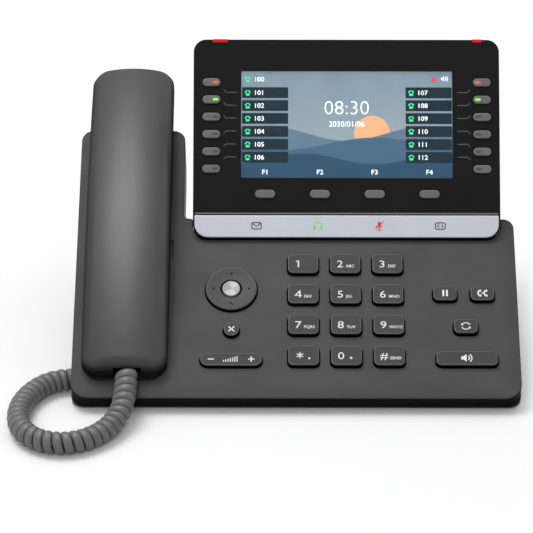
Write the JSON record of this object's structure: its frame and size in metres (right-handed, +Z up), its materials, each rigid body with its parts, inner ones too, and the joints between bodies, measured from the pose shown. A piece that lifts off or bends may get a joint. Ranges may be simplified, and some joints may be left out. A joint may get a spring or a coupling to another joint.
{
  "type": "desk telephone with display",
  "caption": "Wedge-shaped desk telephone with a lift-off handset on a curly cord, dial keypad, navigation ring and a tilting display panel framed by keys.",
  "frame": {"origin": "on the table under the middle of the telephone, measured without its cord", "axes": "+X to the right of a person facing the keys, +Y away from that person, +Z up"},
  "size_m": [0.2636, 0.2253, 0.1447],
  "materials": {
    "base_plastic": "fine satin texture",
    "key_plastic": "satin",
    "panel_key_plastic": "satin",
    "panel_plastic": "semi-gloss",
    "foot_rubber": "matt",
    "circuit_board": "solder mask",
    "silicone": "matt",
    "screw_steel": "zinc plated",
    "speaker_metal": "black",
    "jack_plastic": "plain",
    "display_glass": "clear",
    "display_module": "lit display",
    "silver_strip": "silver paint",
    "lamp_red": "clear red",
    "ok_silver": "spun",
    "handset_plastic": "satin",
    "cord_jacket": "satin",
    "plug_clear": "clear"
  },
  "bodies": {
    "base": {"top_cover": "base_plastic", "bottom_cover": "base_plastic", "foot_stand": "base_plastic", "rubber_feet": "foot_rubber", "main_board": "circuit_board", "keypad_mat": "silicone", "base_screws": "screw_steel", "loudspeaker": "speaker_metal", "rear_jacks": "jack_plastic", "base_plug": "plug_clear", "handset_cord": "cord_jacket"},
    "handset": {"handset_top_shell": "handset_plastic", "handset_bottom_shell": "handset_plastic", "handset_receiver": "speaker_metal", "handset_plug": "plug_clear"},
    "panel": {"panel_frame": "panel_plastic", "panel_back": "base_plastic", "display_lens": "display_glass", "display_module": "display_module", "icon_strip": "silver_strip", "message_lamps": "lamp_red", "hinge_pins": "screw_steel"},
    "key_1": {"key_1": "key_plastic"},
    "key_2": {"key_2": "key_plastic"},
    "key_3": {"key_3": "key_plastic"},
    "key_4": {"key_4": "key_plastic"},
    "key_5": {"key_5": "key_plastic"},
    "key_6": {"key_6": "key_plastic"},
    "key_7": {"key_7": "key_plastic"},
    "key_8": {"key_8": "key_plastic"},
    "key_9": {"key_9": "key_plastic"},
    "key_star": {"key_star": "key_plastic"},
    "key_0": {"key_0": "key_plastic"},
    "key_hash": {"key_hash": "key_plastic"},
    "hold_key": {"hold_key": "key_plastic"},
    "transfer_key": {"transfer_key": "key_plastic"},
    "redial_key": {"redial_key": "key_plastic"},
    "speaker_key": {"speaker_key": "key_plastic"},
    "cancel_key": {"cancel_key": "key_plastic"},
    "line_key_left_1": {"line_key_left_1": "panel_key_plastic"},
    "line_key_left_2": {"line_key_left_2": "panel_key_plastic"},
    "line_key_left_3": {"line_key_left_3": "panel_key_plastic"},
    "line_key_left_4": {"line_key_left_4": "panel_key_plastic"},
    "line_key_left_5": {"line_key_left_5": "panel_key_plastic"},
    "line_key_left_6": {"line_key_left_6": "panel_key_plastic"},
    "line_key_right_1": {"line_key_right_1": "panel_key_plastic"},
    "line_key_right_2": {"line_key_right_2": "panel_key_plastic"},
    "line_key_right_3": {"line_key_right_3": "panel_key_plastic"},
    "line_key_right_4": {"line_key_right_4": "panel_key_plastic"},
    "line_key_right_5": {"line_key_right_5": "panel_key_plastic"},
    "line_key_right_6": {"line_key_right_6": "panel_key_plastic"},
    "soft_key_1": {"soft_key_1": "panel_key_plastic"},
    "soft_key_2": {"soft_key_2": "panel_key_plastic"},
    "soft_key_3": {"soft_key_3": "panel_key_plastic"},
    "soft_key_4": {"soft_key_4": "panel_key_plastic"},
    "volume_rocker": {"volume_rocker": "key_plastic"},
    "nav_carrier": {"nav_carrier": "key_plastic"},
    "nav_ring": {"nav_ring": "key_plastic"},
    "ok_button": {"ok_button": "ok_silver"},
    "hook_switch": {"hook_switch": "jack_plastic"}
  },
  "joints": [
    {"name": "handset_lift", "type": "slide", "parent": "base", "child": "handset", "axis": [0, -0.4658, 0.8849], "range_m": [0, 0.1]},
    {"name": "panel_tilt", "type": "hinge", "parent": "base", "child": "panel", "pos_m": [0, 0.00324, 0.0547], "axis": [1, 0, 0], "range_deg": [-14, 4]},
    {"name": "hook_rise", "type": "slide", "parent": "base", "child": "hook_switch", "axis": [0, -0.4658, 0.8849], "range_m": [0, 0.003]},
    {"name": "volume_rock", "type": "hinge", "parent": "base", "child": "volume_rocker", "pos_m": [-0.0336, -0.06928, 0.01706], "axis": [0, 0.8849, 0.4658], "range_deg": [-3, 3], "stiffness_Nm_per_rad": 0.3},
    {"name": "nav_rock_across", "type": "hinge", "parent": "base", "child": "nav_carrier", "pos_m": [-0.0339, -0.03021, 0.03751], "axis": [0, 0.8849, 0.4658], "range_deg": [-3, 3], "stiffness_Nm_per_rad": 0.3},
    {"name": "nav_rock_along", "type": "hinge", "parent": "nav_carrier", "child": "nav_ring", "pos_m": [-0.0339, -0.03021, 0.03751], "axis": [1, 0, 0], "range_deg": [-3, 3], "stiffness_Nm_per_rad": 0.3},
    {"name": "ok_press", "type": "slide", "parent": "nav_ring", "child": "ok_button", "axis": [0, 0.4658, -0.8849], "range_m": [0, 0.001], "stiffness_N_per_m": 400},
    {"name": "key_1_press", "type": "slide", "parent": "base", "child": "key_1", "axis": [0, 0.4658, -0.8849], "range_m": [0, 0.0013], "stiffness_N_per_m": 400},
    {"name": "key_2_press", "type": "slide", "parent": "base", "child": "key_2", "axis": [0, 0.4658, -0.8849], "range_m": [0, 0.0013], "stiffness_N_per_m": 400},
    {"name": "key_3_press", "type": "slide", "parent": "base", "child": "key_3", "axis": [0, 0.4658, -0.8849], "range_m": [0, 0.0013], "stiffness_N_per_m": 400},
    {"name": "key_4_press", "type": "slide", "parent": "base", "child": "key_4", "axis": [0, 0.4658, -0.8849], "range_m": [0, 0.0013], "stiffness_N_per_m": 400},
    {"name": "key_5_press", "type": "slide", "parent": "base", "child": "key_5", "axis": [0, 0.4658, -0.8849], "range_m": [0, 0.0013], "stiffness_N_per_m": 400},
    {"name": "key_6_press", "type": "slide", "parent": "base", "child": "key_6", "axis": [0, 0.4658, -0.8849], "range_m": [0, 0.0013], "stiffness_N_per_m": 400},
    {"name": "key_7_press", "type": "slide", "parent": "base", "child": "key_7", "axis": [0, 0.4658, -0.8849], "range_m": [0, 0.0013], "stiffness_N_per_m": 400},
    {"name": "key_8_press", "type": "slide", "parent": "base", "child": "key_8", "axis": [0, 0.4658, -0.8849], "range_m": [0, 0.0013], "stiffness_N_per_m": 400},
    {"name": "key_9_press", "type": "slide", "parent": "base", "child": "key_9", "axis": [0, 0.4658, -0.8849], "range_m": [0, 0.0013], "stiffness_N_per_m": 400},
    {"name": "key_star_press", "type": "slide", "parent": "base", "child": "key_star", "axis": [0, 0.4658, -0.8849], "range_m": [0, 0.0013], "stiffness_N_per_m": 400},
    {"name": "key_0_press", "type": "slide", "parent": "base", "child": "key_0", "axis": [0, 0.4658, -0.8849], "range_m": [0, 0.0013], "stiffness_N_per_m": 400},
    {"name": "key_hash_press", "type": "slide", "parent": "base", "child": "key_hash", "axis": [0, 0.4658, -0.8849], "range_m": [0, 0.0013], "stiffness_N_per_m": 400},
    {"name": "hold_key_press", "type": "slide", "parent": "base", "child": "hold_key", "axis": [0, 0.4658, -0.8849], "range_m": [0, 0.0013], "stiffness_N_per_m": 400},
    {"name": "transfer_key_press", "type": "slide", "parent": "base", "child": "transfer_key", "axis": [0, 0.4658, -0.8849], "range_m": [0, 0.0013], "stiffness_N_per_m": 400},
    {"name": "redial_key_press", "type": "slide", "parent": "base", "child": "redial_key", "axis": [0, 0.4658, -0.8849], "range_m": [0, 0.0013], "stiffness_N_per_m": 400},
    {"name": "speaker_key_press", "type": "slide", "parent": "base", "child": "speaker_key", "axis": [0, 0.4658, -0.8849], "range_m": [0, 0.0013], "stiffness_N_per_m": 400},
    {"name": "cancel_key_press", "type": "slide", "parent": "base", "child": "cancel_key", "axis": [0, 0.4658, -0.8849], "range_m": [0, 0.0013], "stiffness_N_per_m": 400},
    {"name": "line_key_left_1_press", "type": "slide", "parent": "panel", "child": "line_key_left_1", "axis": [0, 0.809, -0.5878], "range_m": [0, 0.0008], "stiffness_N_per_m": 400},
    {"name": "line_key_left_2_press", "type": "slide", "parent": "panel", "child": "line_key_left_2", "axis": [0, 0.809, -0.5878], "range_m": [0, 0.0008], "stiffness_N_per_m": 400},
    {"name": "line_key_left_3_press", "type": "slide", "parent": "panel", "child": "line_key_left_3", "axis": [0, 0.809, -0.5878], "range_m": [0, 0.0008], "stiffness_N_per_m": 400},
    {"name": "line_key_left_4_press", "type": "slide", "parent": "panel", "child": "line_key_left_4", "axis": [0, 0.809, -0.5878], "range_m": [0, 0.0008], "stiffness_N_per_m": 400},
    {"name": "line_key_left_5_press", "type": "slide", "parent": "panel", "child": "line_key_left_5", "axis": [0, 0.809, -0.5878], "range_m": [0, 0.0008], "stiffness_N_per_m": 400},
    {"name": "line_key_left_6_press", "type": "slide", "parent": "panel", "child": "line_key_left_6", "axis": [0, 0.809, -0.5878], "range_m": [0, 0.0008], "stiffness_N_per_m": 400},
    {"name": "line_key_right_1_press", "type": "slide", "parent": "panel", "child": "line_key_right_1", "axis": [0, 0.809, -0.5878], "range_m": [0, 0.0008], "stiffness_N_per_m": 400},
    {"name": "line_key_right_2_press", "type": "slide", "parent": "panel", "child": "line_key_right_2", "axis": [0, 0.809, -0.5878], "range_m": [0, 0.0008], "stiffness_N_per_m": 400},
    {"name": "line_key_right_3_press", "type": "slide", "parent": "panel", "child": "line_key_right_3", "axis": [0, 0.809, -0.5878], "range_m": [0, 0.0008], "stiffness_N_per_m": 400},
    {"name": "line_key_right_4_press", "type": "slide", "parent": "panel", "child": "line_key_right_4", "axis": [0, 0.809, -0.5878], "range_m": [0, 0.0008], "stiffness_N_per_m": 400},
    {"name": "line_key_right_5_press", "type": "slide", "parent": "panel", "child": "line_key_right_5", "axis": [0, 0.809, -0.5878], "range_m": [0, 0.0008], "stiffness_N_per_m": 400},
    {"name": "line_key_right_6_press", "type": "slide", "parent": "panel", "child": "line_key_right_6", "axis": [0, 0.809, -0.5878], "range_m": [0, 0.0008], "stiffness_N_per_m": 400},
    {"name": "soft_key_1_press", "type": "slide", "parent": "panel", "child": "soft_key_1", "axis": [0, 0.809, -0.5878], "range_m": [0, 0.0008], "stiffness_N_per_m": 400},
    {"name": "soft_key_2_press", "type": "slide", "parent": "panel", "child": "soft_key_2", "axis": [0, 0.809, -0.5878], "range_m": [0, 0.0008], "stiffness_N_per_m": 400},
    {"name": "soft_key_3_press", "type": "slide", "parent": "panel", "child": "soft_key_3", "axis": [0, 0.809, -0.5878], "range_m": [0, 0.0008], "stiffness_N_per_m": 400},
    {"name": "soft_key_4_press", "type": "slide", "parent": "panel", "child": "soft_key_4", "axis": [0, 0.809, -0.5878], "range_m": [0, 0.0008], "stiffness_N_per_m": 400}
  ],
  "couplings": [
    {"joint": "hook_rise", "follows": "handset_lift", "ratio": 0.03}
  ]
}
